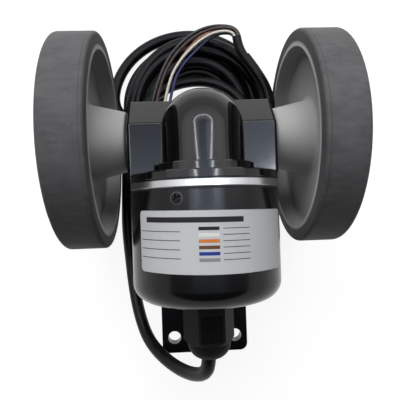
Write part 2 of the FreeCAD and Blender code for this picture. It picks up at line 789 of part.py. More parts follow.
def cable_gland():
    thread, tube_length = "gland_thread_diameter / 2", f"{GLAND_STUB} - {GLAND_INSIDE}"
    at_stub = ("0", f"{AXLE_Y} - {GLAND_STUB}", SHAFT_Z, ALONG_Y)
    stub = cylinder("gland_stub", thread, tube_length, *at_stub)
    bore = cylinder("gland_bore_hole", "gland_bore / 2", tube_length, *at_stub)
    collar = hexagon("gland_hex", "gland_diameter", "gland_hex_length", GLAND_HEX)
    node(cut("gland_body", fused("gland_blank", [stub, collar]), [bore]), "gland_body")
    nut = hexagon("locknut_hex", "locknut_diameter", "locknut_length", CAP_FLOOR)
    floor_y = f"{AXLE_Y} - {CAP_FLOOR}"
    hole = cylinder("locknut_hole", thread, "locknut_length", "0", floor_y, SHAFT_Z, ALONG_Y)
    node(cut("gland_locknut", nut, [hole]), "gland_locknut")
    cone, throat = f"({GLAND_STUB} + seal_land)", f"({GLAND_STUB} + seal_land + seal_taper)"
    gland_nut(thread, cone, throat)
    cable, lead_in = "cable_diameter / 2", f"{GLAND_STUB} - seal_lead_in"
    node(at_shaft("gland_seal", [
        (cable, lead_in),
        ("gland_bore / 2", lead_in),
        ("gland_bore / 2", GLAND_STUB),
        (thread, GLAND_STUB),
        (thread, cone),
        (cable, throat),
    ]), "gland_seal")


def gland_nut(thread, cone, throat):
    """Dome nut with six flats, of which every other one is ribbed for the fingers."""
    outer, shoulder, cable = "(gland_diameter / 2)", "(gland_dome_diameter / 2)", "(cable_diameter / 2)"
    mouth = f"({cable} + gland_lip)"
    inset = f"({shoulder} - {mouth})"
    dome = f"(({inset} * {inset} + gland_dome_length * gland_dome_length) / (2 * {inset}))"
    bevel = f"({outer} - {shoulder})"
    cap = turned("gland_nut_turned", [(radius, f"-({along})") for radius, along in [
        (thread, GLAND_HEX),
        (outer, GLAND_HEX),
        (outer, f"{GLAND_NUT} - {bevel}"),
        (shoulder, GLAND_NUT),
        (mouth, GLAND_END),
        (cable, GLAND_END),
        (cable, throat),
        (thread, cone),
    ]], "Y", arcs={3: (f"{shoulder} - {dome}", f"-{GLAND_NUT}")})
    flat, top = "(gland_diameter / 2 * cos(30 * 1 deg))", "(gland_diameter / 2 + gland_rib_depth)"
    count = int(value("gland_ribs"))
    ridges = []
    for number in range(count + 1):
        across = number - count / 2
        ridges.append((f"{across} * gland_rib_pitch", flat))
        ridges.append((f"({across} + 0.5) * gland_rib_pitch", f"{flat} - gland_rib_depth"))
    corners = ridges[:-1] + [(ridges[-2][0], top), (ridges[0][0], top)]
    ribs = outline(cap, "gland_nut_ribs_outline", corners, role="XZ_Plane", lift=f"{GLAND_NUT} - {bevel}")
    pocket = cap.newObject("PartDesign::Pocket", "gland_nut_ribs")
    pocket.Profile = ribs
    bind(pocket, Length=f"gland_nut_length - {bevel} - gland_rib_inset")
    pattern = cap.newObject("PartDesign::PolarPattern", "gland_nut_ribbed_flats")
    pattern.Originals = [pocket]
    pattern.Axis = (ribs, ["N_Axis"])
    pattern.Angle = 360
    pattern.Occurrences = 3
    cap.Tip = pattern
    place(cap, z=SHAFT_Z, turn=rotation((0, 1, 0), value("gland_turn")))
    flats = hexagon("gland_nut_flats", "gland_diameter", f"{GLAND_END} - {GLAND_HEX}", GLAND_END)
    shaped = new("Part::Common", "gland_nut")
    shaped.Base = cap
    shaped.Tool = flats
    node(shaped, "gland_nut")


def gear_housing(mount_holes, foot_holes):
    """Cast block around the worm, with a bullet nose over the worm wheel and a round flange."""
    body = new("PartDesign::Body", "gear_housing_cast")
    low, back = "-block_below", "block_back"
    front = "(flange_thickness - flange_reach)"
    side = outline(body, "block_outline", [
        (front, low),
        (back, low),
        (back, "block_above - block_chamfer"),
        ("block_back - block_chamfer", "block_above"),
        (front, "block_above"),
    ], role="YZ_Plane")
    block = body.newObject("PartDesign::Pad", "block")
    block.Profile = side
    block.SideType = "Symmetric"
    bind(block, Length="block_width")
    near = 0.1
    rounded(body, "block_round", lambda edge: (
        edge.BoundBox.YMax > value(front) + near and edge.BoundBox.ZMax > value(low) + near))
    nose_end = f"({NOSE_RADIUS} + nose_offset)"
    rim, collar, collar_end = "encoder_diameter / 2", "collar_diameter / 2", f"({front} + collar_length)"
    nose = outline(body, "nose_outline", [
        ("0", "-flange_reach"),
        (f"{rim} - flange_bevel", "-flange_reach"),
        (rim, "-flange_reach + flange_bevel"),
        (rim, f"{front} - flange_bevel"),
        (f"{rim} - flange_bevel", front),
        (collar, front),
        (collar, f"{collar_end} - flange_bevel"),
        (f"{collar} - flange_bevel", collar_end),
        (NOSE_RADIUS, collar_end),
        (NOSE_RADIUS, "nose_offset"),
        ("0", nose_end),
    ], lift=CENTRES, arcs={9: ("0", "nose_offset")})
    turning = body.newObject("PartDesign::Revolution", "nose_turning")
    turning.Profile = nose
    turning.ReferenceAxis = (nose, ["V_Axis"])
    bearing = "axle_bearing_diameter / 2"
    groove = "(axle_bearing_diameter / 2 + circlip_groove)"
    clip_in, clip_out, end = BEARING_OUT, f"({BEARING_OUT} + circlip_thickness)", "(block_width / 2 + 1)"
    half = [(end, bearing), (clip_out, bearing), (clip_out, groove), (clip_in, groove), (clip_in, bearing)]
    passage = outline(body, "axle_passage", (
        [(f"-{end}", "0"), (end, "0")] + half + [(f"-{u}", v) for u, v in reversed(half)]))
    gear_room = outline(body, "gear_room", [
        ("0", "-flange_reach - 1"),
        (GEAR_BORE, "-flange_reach - 1"),
        (GEAR_BORE, "gear_width / 2 + gear_end_gap"),
        ("0", "gear_width / 2 + gear_end_gap"),
    ], lift=CENTRES)
    for sketch, axis in ((passage, "H_Axis"), (gear_room, "V_Axis")):
        room = body.newObject("PartDesign::Groove", f"{sketch.Name}_turning")
        room.Profile = sketch
        room.ReferenceAxis = (sketch, [axis])
        room.Angle = 360
    place(body)
    node(cut("gear_housing", body, mount_holes + foot_holes), "gear_housing")


def foot():
    """Flat foot under the block, with two round holes for the machine's bolts at its far end."""
    under = f"({AXLE_Z} - block_below - foot_thickness)"
    body = new("PartDesign::Body", "foot_plate")
    plan = outline(body, "foot_plan", [
        ("-foot_width / 2", "-foot_reach"),
        ("foot_width / 2", "-foot_reach"),
        ("foot_width / 2", "foot_back"),
        ("-foot_width / 2", "foot_back"),
    ])
    plate = body.newObject("PartDesign::Pad", "foot_pad")
    plate.Profile = plan
    bind(plate, Length="foot_thickness")
    rounded(body, "foot_corner", lambda edge: abs(edge.tangentAt(edge.FirstParameter).z) > 0.9)
    rounded(body, "foot_round", lambda edge: edge.BoundBox.ZMin > value("foot_thickness") / 2)
    place(body, z=under)
    hole_y = f"{AXLE_Y} - foot_reach + foot_hole_inset"
    bolts = []
    for number, sign in enumerate((-1, 1)):
        hole_x = f"{sign} * foot_hole_spacing / 2"
        size = ("foot_hole_diameter / 2", "foot_thickness + 2")
        bolts.append(cylinder(f"foot_hole_{number}", *size, hole_x, hole_y, f"{under} - 1"))
    thread, head = "foot_screw_thread / 2", "foot_screw_head / 2"
    corners = [
        ("0", "0"),
        ("0", head),
        (f"{head} - {thread}", thread),
        ("foot_screw_length", thread),
        ("foot_screw_length", "0"),
    ]
    screws = []
    for number, (sx, sy) in enumerate(((1, 1), (1, -1), (-1, 1), (-1, -1))):
        screw = turned(f"foot_screw_{number}", corners)
        screw_y = f"{AXLE_Y} + {sy} * foot_screw_y"
        place(screw, f"{sx} * foot_screw_x", screw_y, under, rotation((0, 1, 0), -90))
        screws.append(screw)
    node(grouped("foot_screws", screws), "foot_screws")
    node(cut("mounting_foot", body, bolts + screws), "mounting_foot")
    return screws


def tube(points, radius):
    """Round tube along straight runs joined by tangent arcs; also gives the arcs' radii."""
    points = [FreeCAD.Vector(*point) for point in points]
    edges, radii = [], []
    start = points[0]
    for before, corner, after in zip(points, points[1:], points[2:]):
        into, out = (corner - before), (after - corner)
        shorter = min(into.Length, out.Length)
        into.normalize()
        out.normalize()
        half_turn = into.getAngle(out) / 2
        cut_back = 0.45 * shorter
        bend = cut_back / math.tan(half_turn)
        first, last = corner - into * cut_back, corner + out * cut_back
        inward = (out - into).normalize()
        middle = corner + inward * (bend / math.cos(half_turn) - bend)
        edges += [Part.makeLine(start, first), Part.Arc(first, middle, last).toShape()]
        radii.append(round(bend, 1))
        start = last
    edges.append(Part.makeLine(start, points[-1]))
    path = Part.Wire(edges)
    rim = Part.Wire(Part.makeCircle(radius, points[0], points[1] - points[0]))
    solid = path.makePipeShell([rim], True, False)
    return solid, radii, path.Length


# Centre line of the cable from the gland to the coil, measured from the axle.
LEAD_ROUTE = [
    (-1.6, -84.6, 12.8),
    (-7.5, -87.6, 3.5),
    (-15.3, -86, -5.5),
    (-22.8, -80.8, -14),
    (-26.9, -72.2, -19.5),
    (-29.4, -60.5, -22.5),
    (-31.1, -46.4, -26),
    (-32.6, -33.7, -29.8),
    (-32.7, -22, -33.2),
    (-32.6, -9, -36.4),
    (-32.6, 8, -37.3),
    (-32.4, 18, -37.3),
]
COIL_CENTRE = (-0.3, 23.5)
# Last stretch of the jacket, on top of the coil, and the thin sleeve that comes out of it.
TAIL_ROUTE = [(32.5, 16, -26), (31.5, 23.5, -22.5), (28, 31.2, -21), (21.9, 39.5, -21)]
SLEEVE_END = (18.6, 48.3, -20.4)
# Middle of the bundle of wires, with how far the wires have spread and dropped there.
WIRE_ROUTE = [
    (11.6, 53, -20.4, 0.15, 0),
    (5, 50.8, -20.7, 0.6, 0),
    (-1.4, 46.2, -21, 1, 0.2),
    (-8.2, 39.3, -21.7, 1, 0.7),
    (-13.3, 29.7, -22.2, 1, 1),
]
WIRE_END = (-16.5, 19.5, -22.4)
# Wires from the outside of the bend to its inside, with their corner of the pentagon in the sleeve.
WIRE_COLOURS = {"black": 0, "brown": 1, "orange": 4, "white": 2, "blue": 3}


def cord(label, points, diameter):
    solid, radii, length = tube(points, value(diameter) / 2)
    print(label, "length", round(length, 1), "bend radii", radii)
    stretch = new("Part::Feature", label)
    stretch.Shape = solid
    place(stretch)
    return node(stretch, label)


def cable():
    height = value(CENTRES)
    inside, outside = value(f"seal_lead_in - {GLAND_STUB}"), value(f"-{GLAND_END} - cable_run_out")
    cord("cable_lead", [(0, inside, height), (0, outside, height)] + LEAD_ROUTE, "cable_diameter")
    cord("cable_tail", TAIL_ROUTE, "cable_diameter")
    outer, inner, rise = "coil_outer_radius", "coil_inner_radius", "coil_height"
    coil = new("PartDesign::Body", "cable_coil")
    section = [(inner, "0"), (outer, "0"), (outer, rise), (inner, rise)]
    ring = outline(coil, "coil_outline", section, role="XZ_Plane")
    turning = coil.newObject("PartDesign::Revolution", "coil_turning")
    turning.Profile = ring
    turning.ReferenceAxis = (ring, ["V_Axis"])
    rounded(coil, "coil_round", lambda edge: isinstance(edge.Curve, Part.Circle))
    place(coil, str(COIL_CENTRE[0]), f"{AXLE_Y} + {COIL_CENTRE[1]}", "0")
    node(coil, "cable_coil")
    jacket_end = FreeCAD.Vector(*TAIL_ROUTE[-1])
    along = (jacket_end - FreeCAD.Vector(*TAIL_ROUTE[-2])).normalize()
    elbow = jacket_end + along * value("sleeve_run_out")
    end = FreeCAD.Vector(*SLEEVE_END)
    cord("cable_sleeve", [jacket_end, elbow, end], "sleeve_diameter")
    along = (end - elbow).normalize()
    across = along.cross(FreeCAD.Vector(0, 0, 1)).normalize()
    up = across.cross(along)
    spacing = value("wire_diameter") * 1.25
    circle = value("wire_diameter")
    bend = end + along * value("wire_run_out")
    mitre = math.tan(along.getAngle(FreeCAD.Vector(*WIRE_ROUTE[0][:3]) - bend) / 2)
    for number, (colour, corner) in enumerate(WIRE_COLOURS.items()):
        angle = 2 * math.pi * corner / len(WIRE_COLOURS)
        side, height = circle * math.cos(angle), circle * math.sin(angle)
        start = end + across * side + up * height
        points = [start, start + along * (value("wire_run_out") + side * mitre)]
        route = WIRE_ROUTE + [(WIRE_END[0], WIRE_END[1] - 2 * number, WIRE_END[2], 1, 1)]
        middles = [bend] + [FreeCAD.Vector(*stop[:3]) for stop in route]
        middles.append(middles[-1] + middles[-1] - middles[-2])
        for before, middle, after, stop in zip(middles, middles[1:], middles[2:], route):
            spread, drop = stop[3:]
            out = (after - before).cross(FreeCAD.Vector(0, 0, 1)).normalize()
            beside = side * (1 - spread) + spacing * (2 - number) * spread
            points.append(middle + out * beside + FreeCAD.Vector(0, 0, height * (1 - drop)))
        cord(f"wire_{colour}", points, "wire_diameter")


wheels()
axle()
bearings()
gear_pair()
encoder_shaft()
MOUNT_HOLES = mount_screws()
CAP_HOLES = cap_screws()
encoder_body(MOUNT_HOLES, CAP_HOLES)
sensor_board()
cable_gland()
FOOT_HOLES = foot()
gear_housing(MOUNT_HOLES, FOOT_HOLES)
cable()
DOC.recompute()

FAILED = [thing.Name for thing in DOC.Objects if {"Invalid", "Error"} & set(thing.State)]
FAILED += [thing.Label for thing in NODES if thing.Shape.isNull() or not thing.Shape.isValid()]
if FAILED:
    raise RuntimeError(f"these did not build: {FAILED}")
os.makedirs("parts", exist_ok=True)
for thing in NODES:
    thing.Shape.exportStep(f"parts/{thing.Label}.step")
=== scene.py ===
import json
import math

import bmesh
import bpy
from mathutils import Matrix, Vector


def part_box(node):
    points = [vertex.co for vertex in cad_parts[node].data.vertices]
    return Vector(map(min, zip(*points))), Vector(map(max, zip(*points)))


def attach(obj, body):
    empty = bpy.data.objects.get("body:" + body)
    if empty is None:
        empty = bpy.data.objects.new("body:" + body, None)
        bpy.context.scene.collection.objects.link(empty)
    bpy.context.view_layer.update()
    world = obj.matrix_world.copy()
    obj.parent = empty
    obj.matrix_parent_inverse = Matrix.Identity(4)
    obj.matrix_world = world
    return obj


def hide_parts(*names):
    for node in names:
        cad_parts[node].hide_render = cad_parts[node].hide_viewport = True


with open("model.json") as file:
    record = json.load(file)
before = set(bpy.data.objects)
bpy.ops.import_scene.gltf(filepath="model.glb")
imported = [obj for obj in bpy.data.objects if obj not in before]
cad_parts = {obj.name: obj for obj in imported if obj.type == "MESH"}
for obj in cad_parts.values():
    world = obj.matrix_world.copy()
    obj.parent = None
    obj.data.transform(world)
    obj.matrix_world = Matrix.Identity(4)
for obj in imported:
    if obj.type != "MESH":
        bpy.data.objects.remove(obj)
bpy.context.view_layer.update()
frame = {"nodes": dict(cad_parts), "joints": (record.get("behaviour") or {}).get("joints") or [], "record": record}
MM = 0.001

# The axle's middle and the height of the encoder's axis, in metres.
AXLE = Vector(frame["joints"][0]["pos_m"])
SHAFT_Z = frame["joints"][1]["pos_m"][2]

# Radii of the encoder's cap and of the inside of a wheel's rim, in metres.
CAP_RADIUS = 25 * MM
RIM_RADIUS = 33.7 * MM


class Value:
    """A socket of a finish, so that sums of values can be written as expressions."""

    def __init__(self, finish, socket):
        self.finish = finish
        self.socket = socket

    def maths(self, operation, *terms):
        return self.finish.node("ShaderNodeMath", {"operation": operation}, dict(enumerate(terms)))

    def __add__(self, other):
        return self.maths("ADD", self, other)

    def __sub__(self, other):
        return self.maths("SUBTRACT", self, other)

    def __rsub__(self, other):
        return self.maths("SUBTRACT", other, self)

    def __mul__(self, other):
        return self.maths("MULTIPLY", self, other)

    def __pow__(self, other):
        return self.maths("POWER", self, other)

    def __rpow__(self, other):
        return self.maths("POWER", other, self)

    def __gt__(self, other):
        return self.maths("GREATER_THAN", self, other)

    def __lt__(self, other):
        return self.maths("LESS_THAN", self, other)

    __radd__ = __add__
    __rmul__ = __mul__


class Finish:
    """One procedural material: a Principled shader and the nodes that feed it."""

    def __init__(self, name, **sockets):
        self.material = bpy.data.materials.new(name)
        self.material.use_nodes = True
        self.tree = self.material.node_tree
        self.shader = self.tree.nodes["Principled BSDF"]
        self.set(**sockets)

    def set(self, **sockets):
        for name, given in sockets.items():
            self.feed(self.shader.inputs[name.replace("_", " ")], given)

    def feed(self, socket, given):
        if isinstance(given, Value):
            self.tree.links.new(given.socket, socket)
        elif socket.type == "RGBA":
            socket.default_value = tuple(given) + (1,)
        else:
            socket.default_value = given

    def node(self, kind, settings=None, inputs=None, output=0):
        made = self.tree.nodes.new(kind)
        for name, setting in (settings or {}).items():
            if name == "stops":
                ramp = made.color_ramp.elements
                while len(ramp) < len(setting):
                    ramp.new(0.5)
                for element, (place, shade) in zip(ramp, setting):
                    element.position = place
                    element.color = (shade, shade, shade, 1)
            else:
                setattr(made, name, setting)
        for name, given in (inputs or {}).items():
            self.feed(made.inputs[name], given)
        return Value(self, made.outputs[output])

    def place(self):
        """The point that is shaded, in the part's frame."""
        return self.node("ShaderNodeTexCoord", output="Object")

    def axes(self):
        """The three coordinates of that point, in metres."""
        split = self.node("ShaderNodeSeparateXYZ", inputs={0: self.place()})
        return [Value(self, socket) for socket in split.socket.node.outputs]

    def noise(self, size, detail=2, stretch=(1, 1, 1)):
        """Soft noise from 0 to 1, with grains of about that size in metres."""
        where = self.node("ShaderNodeVectorMath", {"operation": "MULTIPLY"}, {0: self.place(), 1: stretch})
        return self.node("ShaderNodeTexNoise", None, {"Vector": where, "Scale": 1 / size, "Detail": detail})

    def ramp(self, value, *stops):
        return self.node("ShaderNodeValToRGB", {"stops": stops}, {"Fac": value})

    def mix(self, mask, first, second):
        return self.node("ShaderNodeMix", {"data_type": "RGBA"}, {0: mask, 6: first, 7: second}, output=2)

    def bump(self, height, depth, strength):
        relief = {"Height": height, "Distance": depth, "Strength": strength}
        self.set(Normal=self.node("ShaderNodeBump", None, relief))


class Surroundings(Finish):
    """The world's shader, fed in the same way as a finish."""

    def __init__(self, world):
        world.use_nodes = True
        self.tree = world.node_tree
        self.shader = self.tree.nodes["Background"]

    def place(self):
        """The direction that is looked in."""
        return self.node("ShaderNodeTexCoord", output="Generated")


def band(value, low, high):
    """1 between two limits and 0 outside them."""
    return (value > low) * (value < high)


def radius_of(first, second):
    """Distance from an axis, from the two coordinates across it."""
    return (first ** 2 + second ** 2) ** 0.5


def cap_angle(x, z):
    """Angle about the encoder's axis, from straight up towards the right."""
    return x.maths("ARCTAN2", x, z - SHAFT_Z)


def darkened(colour, share):
    return tuple(channel * share for channel in colour)


def tyre_rubber():
    """Grey rubber with scuffs across the tread, light dust and a fine mould line near the inner edge, darkened
    with painted shade as a groove.
    """
    dark, pale = (0.083, 0.083, 0.086), (0.124, 0.124, 0.127)
    groove_shade, dust_grey = (0.03, 0.03, 0.032), (0.22, 0.22, 0.22)
    line_start, line_end = 36.8 * MM, 37.2 * MM
    finish = Finish("tyre_rubber", Specular_IOR_Level=0.26)
    x = finish.axes()[0]
    cloud = finish.noise(9 * MM, detail=4)
    scuff = finish.noise(1.8 * MM, detail=4, stretch=(0.4, 1, 1))
    grain = finish.noise(0.35 * MM, detail=3)
    dust = finish.ramp(finish.noise(0.9 * MM), (0.71, 0), (0.75, 1))
    line = band(x ** 2, line_start ** 2, line_end ** 2) * scuff
    patch = finish.ramp(cloud * 0.55 + scuff * 0.45, (0.36, 0), (0.64, 1))
    rubber = finish.mix(patch, dark, pale)
    # Painted shade: the rubber is darkened along the mould line's groove.
    line_shaded = finish.mix(line * 0.7, rubber, groove_shade)
    finish.set(Base_Color=finish.mix(dust * 0.5, line_shaded, dust_grey), Roughness=0.6 + cloud * 0.2)
    finish.bump(grain + cloud * 0.6 - line, depth=0.05 * MM, strength=0.5)
    return finish


def wheel_plastic():
    """Grey moulded plastic, with a painted highlight along the inner edge of the rim."""
    grey, pale, highlight_grey = (0.43, 0.43, 0.43), (0.48, 0.48, 0.475), (0.8, 0.8, 0.795)
    finish = Finish("wheel_plastic", Specular_IOR_Level=0.4)
    _, y, z = finish.axes()
    cloud = finish.noise(12 * MM)
    grain = finish.noise(0.3 * MM)
    # Painted highlight: a light band along the inner edge of the rim, where its rounded edge would catch light.
    rim_edge_highlight = band(radius_of(y - AXLE.y, z - AXLE.z), RIM_RADIUS + 0.05 * MM, RIM_RADIUS + 1.1 * MM)
    plastic = finish.mix(cloud, grey, pale)
    finish.set(Base_Color=finish.mix(rim_edge_highlight * 0.8, plastic, highlight_grey), Roughness=0.48 + grain * 0.15)
    finish.bump(grain, depth=0.03 * MM, strength=0.4)
    return finish


def black_enamel(name, rough, gloss):
    """Black coat on a casting, with a faint ripple and a few dull specks."""
    black, speck = (0.003, 0.003, 0.00345), (0.06, 0.06, 0.06)
    finish = Finish(name, Specular_IOR_Level=gloss, Coat_Weight=0.05, Coat_Roughness=0.03, Coat_IOR=1.5)
    ripple = finish.noise(1.6 * MM)
    dust = finish.ramp(finish.noise(0.5 * MM, detail=4), (0.68, 0), (0.74, 1))
    enamel = finish.mix(dust * 0.25, black, speck)
    finish.set(Base_Color=enamel, Roughness=rough + ripple * 0.05 + dust * 0.12)
    finish.bump(ripple, depth=0.02 * MM, strength=0.12)
    return finish


def moulded_black(name, shade, rough, grain_size):
    """Black moulded plastic with a fine grain."""
    dark = (shade, shade, shade * 1.05)
    pale = (shade * 1.5, shade * 1.5, shade * 1.55)
    finish = Finish(name, Specular_IOR_Level=0.08)
    grain = finish.noise(grain_size, detail=3)
    cloud = finish.noise(8 * MM)
    finish.set(Base_Color=finish.mix(cloud, dark, pale), Roughness=rough + grain * 0.12)
    finish.bump(grain, depth=0.02 * MM, strength=0.3)
    return finish


def turned_metal(name, colour, rough, axis, centre):
    """Bare metal with fine turning marks about an axis through a centre."""
    mark_pitch = 0.12 * MM
    finish = Finish(name, Metallic=1.0)
    parts = finish.axes()
    across = [parts[n] - centre[n] for n in range(3) if n != axis]
    lines = finish.node("ShaderNodeTexNoise", {"noise_dimensions": "1D"},
                        {"W": radius_of(*across) + parts[axis], "Scale": 1 / mark_pitch, "Detail": 2})
    smudge = finish.noise(5 * MM, detail=3)
    metal = finish.mix(lines * 0.6 + smudge * 0.3, colour, darkened(colour, 0.82))
    finish.set(Base_Color=metal, Roughness=rough + smudge * 0.12)
    finish.bump(lines, depth=0.004 * MM, strength=0.25)
    return finish


def plain_metal(name, colour, rough):
    """Metal with soft smudges and a fine grain."""
    finish = Finish(name, Metallic=1.0)
    smudge = finish.noise(2.5 * MM, detail=3)
    grain = finish.noise(0.15 * MM)
    finish.set(Base_Color=finish.mix(smudge, colour, darkened(colour, 0.75)), Roughness=rough + smudge * 0.15)
    finish.bump(grain, depth=0.01 * MM, strength=0.25)
    return finish


def cable_jacket():
    """Satin PVC with slight waves from the braid below and dull rubbed patches."""
    black, rubbed_black = (0.003, 0.003, 0.0035), (0.009, 0.009, 0.01)
    finish = Finish("cable_jacket", Specular_IOR_Level=0.16)
    wave = finish.noise(3 * MM)
    rub = finish.ramp(finish.noise(7 * MM, detail=3), (0.45, 0), (0.7, 1))
    grain = finish.noise(0.25 * MM)
    finish.set(Base_Color=finish.mix(rub, black, rubbed_black), Roughness=0.3 + rub * 0.16)
    finish.bump(wave + grain * 0.25, depth=0.05 * MM, strength=0.35)
    return finish


def wire_skin(name, colour):
    """Thin coloured insulation, a little uneven in tone."""
    finish = Finish(name)
    cloud = finish.noise(2 * MM)
    finish.set(Base_Color=finish.mix(cloud, colour, darkened(colour, 0.8)), Roughness=0.34 + cloud * 0.12)
    finish.bump(cloud, depth=0.01 * MM, strength=0.3)
    return finish


def seal_rubber():
    """Dull black rubber with a fine grain."""
    dark, pale = (0.014, 0.014, 0.014), (0.03, 0.03, 0.03)
    finish = Finish("seal_rubber", Specular_IOR_Level=0.3)
    grain = finish.noise(0.3 * MM, detail=3)
    finish.set(Base_Color=finish.mix(grain, dark, pale), Roughness=0.7 + grain * 0.15)
    finish.bump(grain, depth=0.03 * MM, strength=0.4)
    return finish


def board_green():
    """Green circuit board with a faint weave."""
    dark, pale = (0.01, 0.09, 0.04), (0.02, 0.15, 0.06)
    finish = Finish("board_green")
    weave = finish.noise(0.6 * MM, detail=3)
    finish.set(Base_Color=finish.mix(weave, dark, pale), Roughness=0.3 + weave * 0.15)
    finish.bump(weave, depth=0.02 * MM, strength=0.3)
    return finish


def disc_glass():
    """Code disc with a ring of dark and clear lines."""
    clear, dark = (0.55, 0.58, 0.6), (0.02, 0.02, 0.02)
    line_count, ring_inside, ring_outside = 100, 14 * MM, 16.5 * MM
    finish = Finish("disc_glass")
    x, _, z = finish.axes()
    angle = x.maths("ARCTAN2", z - SHAFT_Z, x)
    lines = angle.maths("SINE", angle * line_count)
    mask = (lines > 0) * band(radius_of(x, z - SHAFT_Z), ring_inside, ring_outside)
    finish.set(Base_Color=finish.mix(mask, clear, dark), Roughness=0.12 + mask * 0.2)
    return finish


SLOT_FINISHES = {
    "tyre_rubber": tyre_rubber(),
    "wheel_plastic": wheel_plastic(),
    "plain_steel": plain_metal("plain_steel", (0.56, 0.56, 0.57), rough=0.3),
    "bearing_steel": turned_metal("bearing_steel", (0.6, 0.6, 0.61), rough=0.22, axis=0, centre=AXLE),
    "spring_steel": plain_metal("spring_steel", (0.2, 0.2, 0.21), rough=0.35),
    "gear_brass": plain_metal("gear_brass", (0.7, 0.5, 0.22), rough=0.28),
    "housing_black": black_enamel("housing_black", rough=0.09, gloss=0.4),
    "foot_black": black_enamel("foot_black", rough=0.2, gloss=0.2),
    "bare_aluminium": turned_metal("bare_aluminium", (0.6, 0.607, 0.614), rough=0.24,
                                   axis=1, centre=(0, 0, SHAFT_Z)),
    "cap_black": black_enamel("cap_black", rough=0.18, gloss=0.26),
    "seal_rubber": seal_rubber(),
    "board_green": board_green(),
    "gate_black": moulded_black("gate_black", shade=0.015, rough=0.45, grain_size=0.3 * MM),
    "disc_glass": disc_glass(),
    "gland_nylon": moulded_black("gland_nylon", shade=0.004, rough=0.5, grain_size=0.25 * MM),
    "cable_jacket": cable_jacket(),
    "wire_white": wire_skin("wire_white", (0.78, 0.74, 0.66)),
    "wire_brown": wire_skin("wire_brown", (0.05, 0.022, 0.016)),
    "wire_blue": wire_skin("wire_blue", (0.007, 0.01, 0.09)),
    "wire_orange": wire_skin("wire_orange", (0.27, 0.105, 0.07)),
    "wire_black": wire_skin("wire_black", (0.014, 0.014, 0.015)),
}


def finish_nodes():
    """Every CAD piece gets the finish of its slot in the record."""
    for row in frame["record"]["subparts"]:
        data = frame["nodes"][row["node"]].data
        data.materials.clear()
        data.materials.append(SLOT_FINISHES[row["material_slot"]].material)


def linked(name, data):
    piece = bpy.data.objects.new(name, data)
    bpy.context.scene.collection.objects.link(piece)
    return piece


def dressed(piece, slot, finish=None, body="housing"):
    """Give a piece its finish and let it ride on its body."""
    piece.data.materials.clear()
    piece.data.materials.append((finish or SLOT_FINISHES[slot]).material)
    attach(piece, body)
    return piece


def meshed(name, form):
    mesh = bpy.data.meshes.new(name)
    form.to_mesh(mesh)
    form.free()
    mesh.shade_smooth()
    return mesh


def circle(radius, sides):
    turns = [2 * math.pi * side / sides for side in range(sides)]
    return [(radius * math.cos(turn), radius * math.sin(turn)) for turn in turns]


def neighbours(loop):
    return zip(loop, loop[1:] + loop[:1])


def join_loops(form, loops):
    """Faces between loops of equally many corners, from the innermost outwards."""
    for inner, outer in zip(loops, loops[1:]):
        for (near, near_after), (far, far_after) in zip(neighbours(inner), neighbours(outer)):
            form.faces.new((near, far, far_after, near_after))


# Routes of the cable and its wires, in millimetres from the floor below the axle's middle.
LEAD = [
    (0, -66, 56.8), (0, -78, 56.8), (-1.6, -84.6, 52.6), (-7.5, -87.6, 43.3), (-15.3, -86, 34.3),
    (-22.8, -80.8, 25.8), (-26.9, -72.2, 20.3), (-29.4, -60.5, 17.3), (-31.1, -46.4, 13.8),
    (-32.6, -33.7, 10), (-32.7, -22, 6.6), (-32.6, -9, 3.4), (-32.6, 6, 2.5), (-32.8, 16, 2.5),
]

# Where each turn of the coil is farthest left, back, right and forward.
TURNS = [
    (-38.4, 24, 2.5), (-2, 56.2, 2.5), (34.6, 22, 2.5), (0, -10, 2.5),
    (-31.6, 22, 2.5), (-1, 50.4, 2.5), (29, 21, 2.5), (0, -16, 2.5),
    (-25, 17, 2.5), (0, 44.9, 2.5), (25.2, 17.5, 2.5), (0, -22, 2.5),
    (-19.4, 14, 2.5), (1, 39, 2.5), (21, 14, 2.6), (0, -19, 6.9),
    (-22.2, 15, 6.9), (1, 42.2, 6.9), (24.6, 13.6, 6.9), (0, -13, 6.9),
    (-27.8, 18, 6.9), (0, 47.7, 6.9), (31.4, 20, 6.9), (0, -25, 6.9),
    (-30.5, 14, 7.4), (0, 51.8, 6.9), (31.8, 19, 11.6), (0, -17, 11.6),
    (-27.5, 7, 12.2), (1.5, 33.6, 5.2), (26.4, 7, 12.2), (0, -23, 12.4),
]
QUARTER_STEPS = 4

# The coil's greatest half width between the wheels, and how fast it may widen behind them.
COIL_HALF_WIDTH, WIDENS_FROM, WIDENS_BY = 32.8, 19, 1.2

